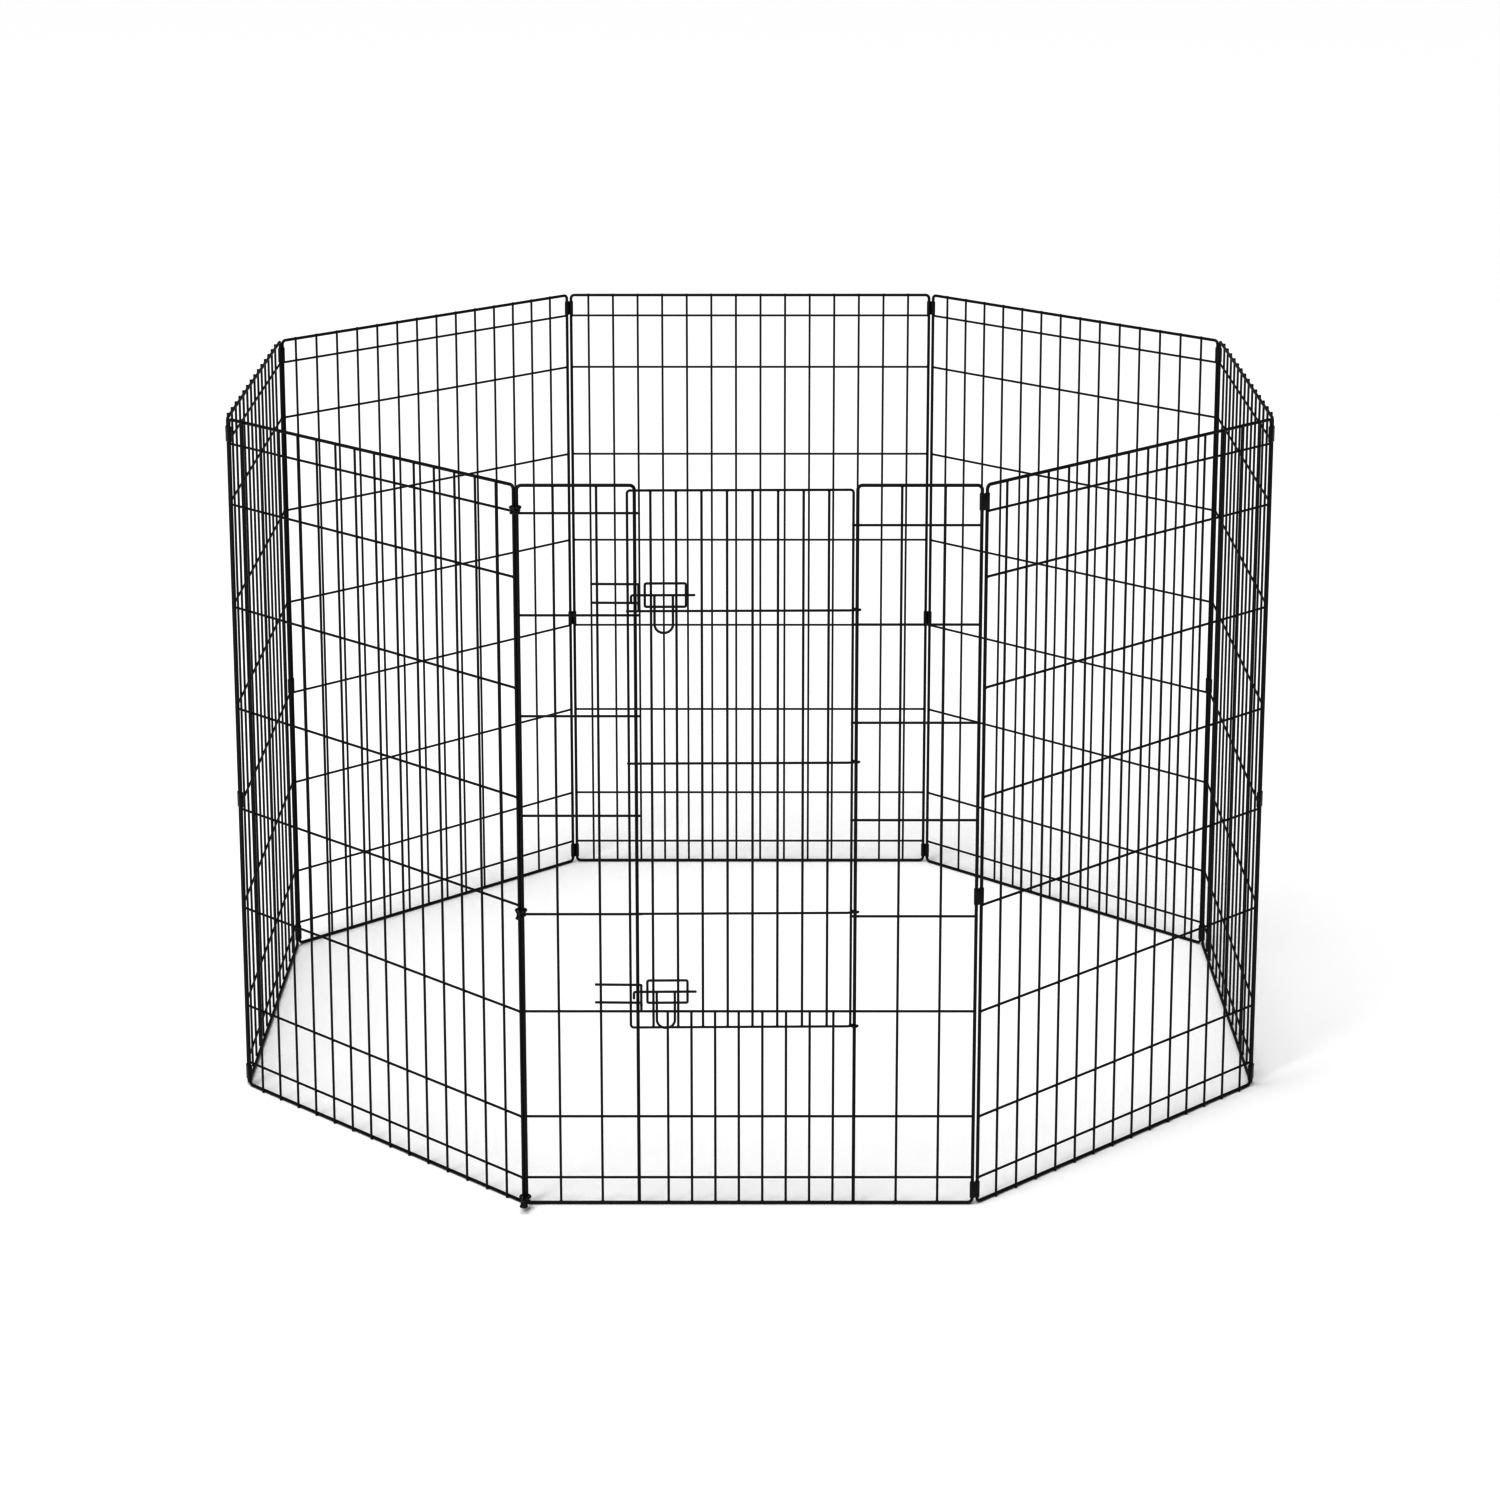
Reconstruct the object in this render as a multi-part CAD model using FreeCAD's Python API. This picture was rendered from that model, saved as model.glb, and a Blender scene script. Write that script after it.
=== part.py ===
import FreeCAD, Part
import math
import os
from FreeCAD import Vector

# A folding wire exercise pen: eight welded-wire panels in a ring, a door in the front panel.
# Millimetres, +Z up, and the front panel faces -Y. Everything is made round the centre of the ring
# on the floor, and moved back at the end so that the origin is under the middle of the whole.
# Places on a panel are given as (along, out, up): along runs from the panel's left corner to its
# right one as seen from outside, out is the distance outwards from the plane of its frame wire.

# ---------------------------------------------------------------- driving dimensions
PANELS = 8
CORNER_TO_CORNER = 610.0
HEIGHT = 1000.0
FRAME_WIRE = 4.2
MESH_WIRE = 3.0
FRAME_BEND = 6.0
WELD_SINK = 0.2          # how far two crossing wires are pressed into each other
BUTT_SINK = 0.3          # how far a wire's end is pressed into the wire it meets
END_TRIM = 0.3           # how far a mesh wire stops short of the frame's outer edge

HINGE_WIRES_APART = 7.4  # the two edge wires held by one corner clip
CLOSING_WIRES_APART = 4.6

ROW_HEIGHTS = (35.0, 123.0, 273.0, 423.0, 573.0, 723.0, 873.0, 961.0)
UPRIGHTS = 14
LEFT_UPRIGHT_GAP = 35.1
RIGHT_UPRIGHT_GAP = 29.1

LEFT_JAMB = 155.0
RIGHT_JAMB = 444.8
FULL_ROW_HEIGHTS = (35.0, 123.0, 273.0)
LEFT_ROW_HEIGHTS = (410.0, 547.0, 684.0, 821.0, 958.0)
RIGHT_ROW_HEIGHTS = (407.0, 541.0, 675.0, 808.5, 942.0)
LEFT_UPRIGHTS = (49.1, 105.5)
RIGHT_UPRIGHTS = (502.3, 558.6)
SILL_UPRIGHTS = 8
SILL_FIRST_GAP = 39.8
SILL_PITCH = 31.7
ROW_STUB = 5.0           # how far the front panel's rows run past a jamb

DOOR_WIDTH = 293.6
DOOR_SIDE_GAP = 5.6      # hinge jamb to the door's own side wire
DOOR_FOOT = 256.0
DOOR_HEAD = 992.5
DOOR_BEND = 4.0
DOOR_OUT = 2.4           # plane of the door's frame wire
DOOR_LEAN = 0.85         # degrees that the shut door stands off the panel, so it laps the left jamb
DOOR_ROW_HEIGHTS = (417.0, 625.0, 832.0)
DOOR_UPRIGHTS = 8
DOOR_FIRST_GAP = 30.3
DOOR_UPRIGHT_PITCH = 33.1
EYE_RADIUS = 4.2         # centre line of the wire curled round the hinge jamb
EYE_LEAD = 10.0          # where the wire starts to lead into its eye
EYE_END = -130.0         # degrees, where the curl stops

LATCH_HEIGHTS = {"upper": 853.5, "lower": 307.6}
KEEPER_RISE = {"upper": 13.2, "lower": 7.4}
KEEPER_GAP = 25.2
KEEPER_START = 98.0
KEEPER_FRONT = 160.0
KEEPER_START_OUT = 1.95
KEEPER_JAMB_OUT = 3.5
KEEPER_REACH = 13.6
KEEPER_TAIL = 33.0
KEEPER_BEND = 2.5
KEEPER_WELD = 0.7        # how far the lower wire's end stops short of the middle of the upper one
GUIDE_LEFT = 168.0
GUIDE_RIGHT = 221.5
GUIDE_HALF_HEIGHT = 15.7
GUIDE_SHOULDER = 6.0     # how far below the guide's top wire its side has come fully forward
GUIDE_BEND = 2.2
ROD_LEFT = 157.7
ROD_RIGHT = 233.5
ROD_GAP = 0.4            # free space between the rod and the wires either side of it
HOOK_ALONG = 150.0
HOOK_DROP = 10.0
HOOK_BEND = 2.5
HOOK_SPLIT = 0.1
LEGS = (180.5, 204.5)
LEG_DROP = 50.0
LEG_TOP = 1.0
LEG_BEND = 11.5
LEG_ROD_GAP = 0.15
LEG_GUIDE_GAP = 0.3

CLIP_SHEET = 1.0
CLIP_PLAY = 0.15
CLIP_HEIGHT = 22.0
CLIP_WEB = 2.0
CLIP_FEET = (9.5, 427.0, 965.0)

SNAP_HEIGHTS = {"top": 968.6, "middle": 418.6, "bottom": 10.0}
SNAP_WIRE = 3.2
SNAP_LOOP = 6.6          # centre-line radius of the hook round both edge wires
SNAP_STEM_SIDE = -3.0
BARREL_RADIUS = 4.6
BARREL_NEAR = 12.5
BARREL_FAR = 26.5
BOLT_SIDE = 2.4
BOLT_RADIUS = 1.1
BOLT_PLAY = 0.15
BOLT_TIP = 8.0
BOLT_TAIL = 17.0
BOLT_BORE_END = 22.1
THUMB_AT = 15.0
THUMB_TRAVEL = 4.8
THUMB_RADIUS = 1.2
THUMB_SLOT_PLAY = 0.25
KNOB_RADIUS = 2.2
KNOB_NEAR = 5.0
KNOB_FAR = 6.6
SWIVEL_HEAD_RADIUS = 2.4
SWIVEL_HEAD = (23.0, 24.4)
SWIVEL_CHAMBER = (22.8, 24.6)
SWIVEL_STEM_RADIUS = 1.2
SWIVEL_PLAY = 0.15
EYELET_RADIUS = 4.2
EYELET_WIRE = 2.4
EYELET_AT = 32.5

# ---------------------------------------------------------------- worked-out values
TURN = 360.0 / PANELS
HALF_TURN = math.radians(TURN / 2)
APOTHEM = CORNER_TO_CORNER / 2 / math.tan(HALF_TURN)
FRAME_R = FRAME_WIRE / 2
MESH_R = MESH_WIRE / 2
BOTTOM = FRAME_R
TOP = HEIGHT - FRAME_R
HINGE_SETBACK = HINGE_WIRES_APART / 2 / math.cos(HALF_TURN)
CLOSING_SETBACK = CLOSING_WIRES_APART / 2 / math.cos(HALF_TURN)
ON_FRAME = FRAME_R + MESH_R - WELD_SINK      # a mesh wire welded across a frame wire
ON_MESH = MESH_WIRE - WELD_SINK              # a mesh wire welded across another
DOOR_FAR = DOOR_SIDE_GAP + DOOR_WIDTH
DOOR_LEFT = RIGHT_JAMB - DOOR_FAR
ROD_OUT = DOOR_OUT + MESH_WIRE + ROD_GAP
ARCH_OUT = ROD_OUT + MESH_WIRE + ROD_GAP
GUIDE_OUT = DOOR_OUT + ON_MESH
LEG_OUT = GUIDE_OUT + MESH_WIRE + LEG_GUIDE_GAP
FRONT_REACH = (APOTHEM - CLOSING_SETBACK * math.sin(2 * HALF_TURN) / 2
               + EYELET_AT + EYELET_RADIUS + EYELET_WIRE / 2)
BACK_REACH = APOTHEM + ON_FRAME + MESH_R
MOVE_BACK = (FRONT_REACH - BACK_REACH) / 2

SIDE_NAMES = ("front", "front_right", "right", "back_right",
              "back", "back_left", "left", "front_left")


# ---------------------------------------------------------------- placing and wire helpers
def spot(along, out, up):
    """A place on the front panel, in the pen's frame."""
    return Vector(along - CORNER_TO_CORNER / 2, -APOTHEM - out, up)


def on_side(shape, side):
    """A shape made on the front panel, turned to stand on side number side of the ring."""
    return shape.rotated(Vector(0, 0, 0), Vector(0, 0, 1), TURN * side)


def rod(start, end, diameter):
    """A straight round wire from start to end."""
    run = end - start
    return Part.makeCylinder(diameter / 2, run.Length, start, run)


def joined(first, *others):
    """One solid from pieces that are welded together."""
    solid = first.fuse(list(others)).removeSplitter()
    return solid.Solids[0]


def rounded(points, radius):
    """Edges of an open path through points, with a tangent arc at every inner one."""
    edges = []
    here = points[0]
    for before, corner, after in zip(points, points[1:], points[2:]):
        back = (before - corner).normalize()
        ahead = (after - corner).normalize()
        half = back.getAngle(ahead) / 2
        setback = radius / math.tan(half)
        inward = (back + ahead).normalize()
        middle = corner + inward * (radius / math.sin(half) - radius)
        edges.append(Part.LineSegment(here, corner + back * setback).toShape())
        edges.append(Part.Arc(corner + back * setback, middle, corner + ahead * setback).toShape())
        here = corner + ahead * setback
    edges.append(Part.LineSegment(here, points[-1]).toShape())
    return edges


def swept(edges, diameter):
    """A round wire along a path of tangent edges."""
    start = edges[0].valueAt(edges[0].FirstParameter)
    heading = edges[0].tangentAt(edges[0].FirstParameter)
    section = Part.Wire(Part.makeCircle(diameter / 2, start, heading))
    return Part.Wire(edges).makePipeShell([section], True, False)


def bent_wire(points, diameter, bend):
    """A round wire bent at every inner point."""
    return swept(rounded(points, bend), diameter)


def closed_wire(corners, diameter, bend):
    """A closed wire loop through the corners, bent as two halves that meet at two mid-sides."""
    count = len(corners)
    half = count // 2
    first_mid = (corners[-1] + corners[0]) * 0.5
    second_mid = (corners[half - 1] + corners[half]) * 0.5
    one = bent_wire([first_mid, *corners[:half], second_mid], diameter, bend)
    other = bent_wire([second_mid, *corners[half:], first_mid], diameter, bend)
    return joined(one, other)


# ---------------------------------------------------------------- the plain panels
def panel_edges(side):
    """Where a panel's two edge wires stand: nearer the corner where the ring is closed by snaps."""
    left = CLOSING_SETBACK if side == 0 else HINGE_SETBACK
    right = CLOSING_SETBACK if side == PANELS - 1 else HINGE_SETBACK
    return left, CORNER_TO_CORNER - right


def plain_frame(side):
    """The thick wire bent round one panel."""
    left, right = panel_edges(side)
    corners = [spot(left, 0, BOTTOM), spot(left, 0, TOP), spot(right, 0, TOP), spot(right, 0, BOTTOM)]
    return closed_wire(corners, FRAME_WIRE, FRAME_BEND)


def plain_uprights():
    """Upright mesh wires, welded across the outer face of the top and bottom wires."""
    first = HINGE_SETBACK + LEFT_UPRIGHT_GAP
    last = CORNER_TO_CORNER - HINGE_SETBACK - RIGHT_UPRIGHT_GAP
    pitch = (last - first) / (UPRIGHTS - 1)
    return [rod(spot(first + pitch * i, ON_FRAME, END_TRIM),
                spot(first + pitch * i, ON_FRAME, HEIGHT - END_TRIM), MESH_WIRE)
            for i in range(UPRIGHTS)]


def plain_rows(side):
    """Level mesh wires behind the uprights, butted against the two edge wires."""
    left, right = panel_edges(side)
    reach = FRAME_R - BUTT_SINK
    out = ON_FRAME - ON_MESH
    return [rod(spot(left + reach, out, BOTTOM + up), spot(right - reach, out, BOTTOM + up), MESH_WIRE)
            for up in ROW_HEIGHTS]


# ---------------------------------------------------------------- the front panel
def front_frame():
    """One wire round the front panel: its top is cut away between the two jambs for the door."""
    left, right = panel_edges(0)
    foot = BOTTOM + FRAME_WIRE
    path = [spot(LEFT_JAMB, 0, foot), spot(LEFT_JAMB, 0, TOP), spot(left, 0, TOP),
            spot(left, 0, BOTTOM), spot(right, 0, BOTTOM), spot(right, 0, TOP),
            spot(RIGHT_JAMB, 0, TOP), spot(RIGHT_JAMB, 0, foot)]
    feet = [rod(spot(jamb, 0, BOTTOM), spot(jamb, 0, foot), FRAME_WIRE)
            for jamb in (LEFT_JAMB, RIGHT_JAMB)]
    return joined(bent_wire(path, FRAME_WIRE, FRAME_BEND), *feet)


def front_uprights():
    """Upright mesh wires beside the doorway, and short ones under its sill."""
    out = ON_MESH - ON_FRAME
    foot = BOTTOM + FRAME_R - BUTT_SINK
    head = TOP - FRAME_R + BUTT_SINK
    sill = BOTTOM + FULL_ROW_HEIGHTS[-1] + MESH_R
    under = [LEFT_JAMB + SILL_FIRST_GAP + SILL_PITCH * i for i in range(SILL_UPRIGHTS)]
    tall = [rod(spot(along, out, foot), spot(along, out, head), MESH_WIRE)
            for along in LEFT_UPRIGHTS + RIGHT_UPRIGHTS]
    short = [rod(spot(along, out, foot), spot(along, out, sill), MESH_WIRE) for along in under]
    return tall + short


def front_rows():
    """Level mesh wires across the inner face: three right across, the others beside the doorway."""
    left, right = panel_edges(0)
    spans = [(left - FRAME_R, right + FRAME_R, up) for up in FULL_ROW_HEIGHTS]
    spans += [(left - FRAME_R, LEFT_JAMB + FRAME_R + ROW_STUB, up) for up in LEFT_ROW_HEIGHTS]
    spans += [(RIGHT_JAMB - FRAME_R - ROW_STUB, right + FRAME_R, up) for up in RIGHT_ROW_HEIGHTS]
    return [rod(spot(start, -ON_FRAME, BOTTOM + up), spot(end, -ON_FRAME, BOTTOM + up), MESH_WIRE)
            for start, end, up in spans]


def keeper(latch):
    """Two wires welded to the left jamb, brought forward as a loop that takes the bolt's rod."""
    high = LATCH_HEIGHTS[latch] + KEEPER_RISE[latch]
    low = high - KEEPER_GAP
    upper = bent_wire([spot(KEEPER_START, KEEPER_START_OUT, high),
                       spot(KEEPER_FRONT, KEEPER_JAMB_OUT, high),
                       spot(KEEPER_FRONT, KEEPER_REACH, high),
                       spot(KEEPER_FRONT, KEEPER_REACH, high - KEEPER_TAIL)], MESH_WIRE, KEEPER_BEND)
    lower = bent_wire([spot(KEEPER_START, KEEPER_START_OUT, low),
                       spot(KEEPER_FRONT, KEEPER_JAMB_OUT, low),
                       spot(KEEPER_FRONT, KEEPER_REACH - KEEPER_WELD, low)], MESH_WIRE, KEEPER_BEND)
    return joined(upper, lower)


# ---------------------------------------------------------------- the door, made flat and then leant
def leant(shape):
    """Turns a door piece about the hinge jamb by the small lean of the shut door."""
    return shape.rotated(spot(RIGHT_JAMB, 0, 0), Vector(0, 0, 1), DOOR_LEAN)


def eye_edges(out, up):
    """The end of a level door wire: a lead-in and a curl round the hinge jamb, from the jamb side."""
    hinge = spot(RIGHT_JAMB, 0, up)
    lead = Vector(-EYE_LEAD, -out, 0)
    aim = math.degrees(math.atan2(out, -EYE_LEAD)) - math.degrees(math.acos(EYE_RADIUS / lead.Length))

    def curl(angle):
        turn = math.radians(angle)
        return hinge + Vector(EYE_RADIUS * math.cos(turn), -EYE_RADIUS * math.sin(turn), 0)

    arc = Part.Arc(curl(EYE_END), curl((EYE_END + aim) / 2), curl(aim)).toShape()
    return arc, curl(aim), hinge + lead


def eyed_wire(out, up, points, bend):
    """A door wire that starts in a hinge eye and runs on through points."""
    arc, leave, lead = eye_edges(out, up)
    return swept([arc, *rounded([leave, lead, *points], bend)], MESH_WIRE)


def door_frame():
    """One wire: hinge eye, bottom, left side, top, and down the hinge side to the bottom again."""
    near = RIGHT_JAMB - DOOR_SIDE_GAP
    foot = DOOR_FOOT + MESH_WIRE
    points = [spot(DOOR_LEFT, DOOR_OUT, DOOR_FOOT), spot(DOOR_LEFT, DOOR_OUT, DOOR_HEAD),
              spot(near, DOOR_OUT, DOOR_HEAD), spot(near, DOOR_OUT, foot)]
    heel = rod(spot(near, DOOR_OUT, DOOR_FOOT), spot(near, DOOR_OUT, foot), MESH_WIRE)
    return leant(joined(eyed_wire(DOOR_OUT, DOOR_FOOT, points, DOOR_BEND), heel))


def door_uprights():
    """Upright door wires, butted between its top and bottom wires."""
    foot = DOOR_FOOT + MESH_R - BUTT_SINK
    head = DOOR_HEAD - MESH_R + BUTT_SINK
    places = [DOOR_LEFT + DOOR_FIRST_GAP + DOOR_UPRIGHT_PITCH * i for i in range(DOOR_UPRIGHTS)]
    return [leant(rod(spot(along, DOOR_OUT, foot), spot(along, DOOR_OUT, head), MESH_WIRE))
            for along in places]


def door_rows():
    """Level door wires across its outer face, each ending in a hinge eye."""
    out = DOOR_OUT + ON_MESH
    return [leant(eyed_wire(out, up, [spot(DOOR_LEFT - MESH_R, out, up)], DOOR_BEND))
            for up in DOOR_ROW_HEIGHTS]


def latch_guide(latch):
    """A rounded wire rectangle on the door, with both sides arched forward over the rod."""
    middle = LATCH_HEIGHTS[latch]
    high = middle + GUIDE_HALF_HEIGHT
    low = middle - GUIDE_HALF_HEIGHT
    corners = [spot(GUIDE_LEFT, GUIDE_OUT, high),
               spot(GUIDE_LEFT, ARCH_OUT, high - GUIDE_SHOULDER),
               spot(GUIDE_LEFT, ARCH_OUT, low + GUIDE_SHOULDER),
               spot(GUIDE_LEFT, GUIDE_OUT, low),
               spot(GUIDE_RIGHT, GUIDE_OUT, low),
               spot(GUIDE_RIGHT, ARCH_OUT, low + GUIDE_SHOULDER),
               spot(GUIDE_RIGHT, ARCH_OUT, high - GUIDE_SHOULDER),
               spot(GUIDE_RIGHT, GUIDE_OUT, high)]
    return leant(closed_wire(corners, MESH_WIRE, GUIDE_BEND))


def latch_rod(latch):
    """The straight rod that slides through the guide into the keeper."""
    up = LATCH_HEIGHTS[latch]
    return leant(rod(spot(ROD_LEFT, ROD_OUT, up), spot(ROD_RIGHT, ROD_OUT, up), MESH_WIRE))


def latch_handle(latch):
    """The U-shaped pull that hangs from the rod, hollowed where it meets it."""
    up = LATCH_HEIGHTS[latch]
    left, right = LEGS
    pull = bent_wire([spot(left, LEG_OUT, up + LEG_TOP), spot(left, LEG_OUT, up - LEG_DROP),
                      spot(right, LEG_OUT, up - LEG_DROP), spot(right, LEG_OUT, up + LEG_TOP)],
                     MESH_WIRE, LEG_BEND)
    room = rod(spot(ROD_LEFT, ROD_OUT, up), spot(ROD_RIGHT, ROD_OUT, up),
               MESH_WIRE + 2 * LEG_ROD_GAP)
    return leant(pull.cut(room).Solids[0])


def latch_hook(latch):
    """The rod's turned-down tip, which turns with the pull."""
    up = LATCH_HEIGHTS[latch]
    return leant(bent_wire([spot(ROD_LEFT - HOOK_SPLIT, ROD_OUT, up), spot(HOOK_ALONG, ROD_OUT, up),
                            spot(HOOK_ALONG, ROD_OUT, up - HOOK_DROP)], MESH_WIRE, HOOK_BEND))


# ---------------------------------------------------------------- corner clips
def corner_clip(foot):
    """A sheet clip folded round both edge wires at the front panel's right corner."""
    corner = spot(CORNER_TO_CORNER, 0, foot)
    back = Vector(-HINGE_SETBACK, 0, 0)
    ahead = Vector(math.cos(2 * HALF_TURN), math.sin(2 * HALF_TURN), 0) * HINGE_SETBACK
    wires = [corner + back, corner + ahead]
    bore = FRAME_R + CLIP_PLAY
    sleeves = [Part.makeCylinder(bore + CLIP_SHEET, CLIP_HEIGHT, wire) for wire in wires]
    bores = [Part.makeCylinder(bore, CLIP_HEIGHT, wire) for wire in wires]
    web = Part.makeBox(HINGE_WIRES_APART, CLIP_WEB, CLIP_HEIGHT, Vector(0, -CLIP_WEB / 2, 0))
    web.rotate(Vector(0, 0, 0), Vector(0, 0, 1), TURN / 2)
    web.translate(wires[0])
    return joined(sleeves[0], sleeves[1], web).cut(bores).Solids[0]


# ---------------------------------------------------------------- snaps at the closing corner
def snap_spot(reach, side, height):
    """A place on a snap: reach is outwards from between the two edge wires, side is to the right."""
    left_wire = spot(-CLOSING_SETBACK * math.cos(2 * HALF_TURN),
                     -CLOSING_SETBACK * math.sin(2 * HALF_TURN), height)
    right_wire = spot(CLOSING_SETBACK, 0, height)
    return (left_wire + right_wire) * 0.5 + Vector(side, -reach, 0)


def snap_bar(start, end, radius, side, height):
    """A round bar along a snap's own axis."""
    return rod(snap_spot(start, side, height), snap_spot(end, side, height), 2 * radius)


def snap_hook(height):
    """The cast hook and its barrel, bored for the thumb bolt and for the swivel's head."""
    stem_start = BARREL_NEAR + SNAP_WIRE / 4
    distance = math.hypot(stem_start, SNAP_STEM_SIDE)
    stem = math.atan2(SNAP_STEM_SIDE, stem_start) - math.acos(SNAP_LOOP / distance)
    tip = math.asin(BOLT_SIDE / SNAP_LOOP) - 2 * math.pi

    def loop(angle):
        return snap_spot(SNAP_LOOP * math.cos(angle), SNAP_LOOP * math.sin(angle), height)

    line = Part.LineSegment(snap_spot(stem_start, SNAP_STEM_SIDE, height), loop(stem)).toShape()
    arc = Part.Arc(loop(stem), loop((stem + tip) / 2), loop(tip)).toShape()
    barrel = snap_bar(BARREL_NEAR, BARREL_FAR, BARREL_RADIUS, 0, height)
    slot_half = THUMB_RADIUS + THUMB_SLOT_PLAY
    slot = Part.makeBox(BARREL_RADIUS, THUMB_TRAVEL + 2 * slot_half, 2 * slot_half,
                        snap_spot(THUMB_AT + THUMB_TRAVEL + slot_half, BOLT_SIDE, height - slot_half))
    hollows = [snap_bar(BARREL_NEAR - 1, BOLT_BORE_END, BOLT_RADIUS + BOLT_PLAY, BOLT_SIDE, height),
               slot,
               snap_bar(*SWIVEL_CHAMBER, SWIVEL_HEAD_RADIUS + SWIVEL_PLAY, 0, height),
               snap_bar(SWIVEL_CHAMBER[0], BARREL_FAR + 1, SWIVEL_STEM_RADIUS + SWIVEL_PLAY, 0, height)]
    return joined(swept([line, arc], SNAP_WIRE), barrel).cut(hollows).Solids[0]


def thumb_bolt(height):
    """The sliding bolt that shuts the hook, with its thumb knob."""
    bolt = snap_bar(BOLT_TIP, BOLT_TAIL, BOLT_RADIUS, BOLT_SIDE, height)
    pin = rod(snap_spot(THUMB_AT, BOLT_SIDE, height), snap_spot(THUMB_AT, KNOB_FAR, height),
              2 * THUMB_RADIUS)
    knob = rod(snap_spot(THUMB_AT, KNOB_NEAR, height), snap_spot(THUMB_AT, KNOB_FAR, height),
               2 * KNOB_RADIUS)
    return joined(bolt, pin, knob)


def swivel_eye(height):
    """The ring on the end of the snap, with the headed stem it turns on."""
    head = snap_bar(*SWIVEL_HEAD, SWIVEL_HEAD_RADIUS, 0, height)
    stem = snap_bar(SWIVEL_HEAD[0], EYELET_AT - EYELET_RADIUS, SWIVEL_STEM_RADIUS, 0, height)
    ring = Part.makeTorus(EYELET_RADIUS, EYELET_WIRE / 2, snap_spot(EYELET_AT, 0, height))
    return joined(ring, stem, head)


# ---------------------------------------------------------------- every node
def make_nodes():
    """Name to list of solids, one entry for each sub-part."""
    nodes = {"front_panel_frame": [front_frame()],
             "front_panel_uprights": front_uprights(),
             "front_panel_rows": front_rows(),
             "door_frame": [door_frame()],
             "door_uprights": door_uprights(),
             "door_rows": door_rows()}
    for side in range(1, PANELS):
        name = SIDE_NAMES[side] + "_panel"
        nodes[name + "_frame"] = [on_side(plain_frame(side), side)]
        nodes[name + "_uprights"] = [on_side(wire, side) for wire in plain_uprights()]
        nodes[name + "_rows"] = [on_side(wire, side) for wire in plain_rows(side)]
        nodes[f"corner_{side}_clips"] = [on_side(corner_clip(foot), side - 1) for foot in CLIP_FEET]
    for latch in LATCH_HEIGHTS:
        nodes[latch + "_latch_keeper"] = [keeper(latch)]
        nodes[latch + "_latch_guide"] = [latch_guide(latch)]
        nodes[latch + "_latch_rod"] = [latch_rod(latch)]
        nodes[latch + "_latch_handle"] = [latch_handle(latch)]
        nodes[latch + "_latch_hook"] = [latch_hook(latch)]
    for place, height in SNAP_HEIGHTS.items():
        nodes[place + "_snap_hook"] = [snap_hook(height)]
        nodes[place + "_snap_thumb_bolt"] = [thumb_bolt(height)]
        nodes[place + "_snap_swivel_eye"] = [swivel_eye(height)]
    return nodes


os.makedirs("parts", exist_ok=True)
for node, solids in make_nodes().items():
    shape = solids[0] if len(solids) == 1 else Part.makeCompound(solids)
    shape = shape.translated(Vector(0, MOVE_BACK, 0))
    shape.exportStep(f"parts/{node}.step")
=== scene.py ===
import math
import bmesh
import bpy
from mathutils import Matrix, Vector


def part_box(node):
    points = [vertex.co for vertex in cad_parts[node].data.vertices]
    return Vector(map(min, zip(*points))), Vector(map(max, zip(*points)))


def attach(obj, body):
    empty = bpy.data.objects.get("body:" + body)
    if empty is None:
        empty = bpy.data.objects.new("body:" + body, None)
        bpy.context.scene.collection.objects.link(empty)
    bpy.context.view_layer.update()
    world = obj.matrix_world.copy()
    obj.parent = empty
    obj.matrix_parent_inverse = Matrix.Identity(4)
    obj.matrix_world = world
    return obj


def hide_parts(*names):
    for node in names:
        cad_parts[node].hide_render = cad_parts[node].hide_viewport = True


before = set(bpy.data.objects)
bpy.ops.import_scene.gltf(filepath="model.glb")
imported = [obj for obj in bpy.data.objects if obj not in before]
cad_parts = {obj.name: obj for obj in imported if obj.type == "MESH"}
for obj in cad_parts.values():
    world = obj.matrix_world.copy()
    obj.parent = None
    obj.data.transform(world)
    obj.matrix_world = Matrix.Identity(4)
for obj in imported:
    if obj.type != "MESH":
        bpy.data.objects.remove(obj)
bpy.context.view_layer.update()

# The pen: eight welded-wire panels in a ring, with a latched door in the front one. Sizes are in
# millimetres as in the part's source. A place on a panel is (along, out, up): along runs from the
# panel's left corner to its right one as seen from outside, out is outwards from its edge wires.
MM = 0.001
PANELS = 8
PANEL_WIDTH = 610.0
HEIGHT = 1000.0
EDGE_R = 2.1
MESH_R = 1.5
EDGE_BEND = 6.0
WELD_SINK = 0.2
BUTT_SINK = 0.3
END_TRIM = 0.3
HINGE_SETBACK = 7.4 / 2 / math.cos(math.pi / PANELS)
CLOSING_SETBACK = 4.6 / 2 / math.cos(math.pi / PANELS)
ROW_HEIGHTS = (35.0, 123.0, 273.0, 423.0, 573.0, 723.0, 873.0, 961.0)
UPRIGHTS = 14
LEFT_UPRIGHT_GAP = 35.1
RIGHT_UPRIGHT_GAP = 29.1

LEFT_JAMB = 155.0
RIGHT_JAMB = 444.8
FULL_ROWS = (35.0, 123.0, 273.0)
LEFT_ROWS = (410.0, 547.0, 684.0, 821.0, 958.0)
RIGHT_ROWS = (407.0, 541.0, 675.0, 808.5, 942.0)
TALL_UPRIGHTS = (49.1, 105.5, 502.3, 558.6)
SILL_UPRIGHTS = tuple(194.8 + 31.7 * i for i in range(8))
ROW_STUB = 5.0

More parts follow.
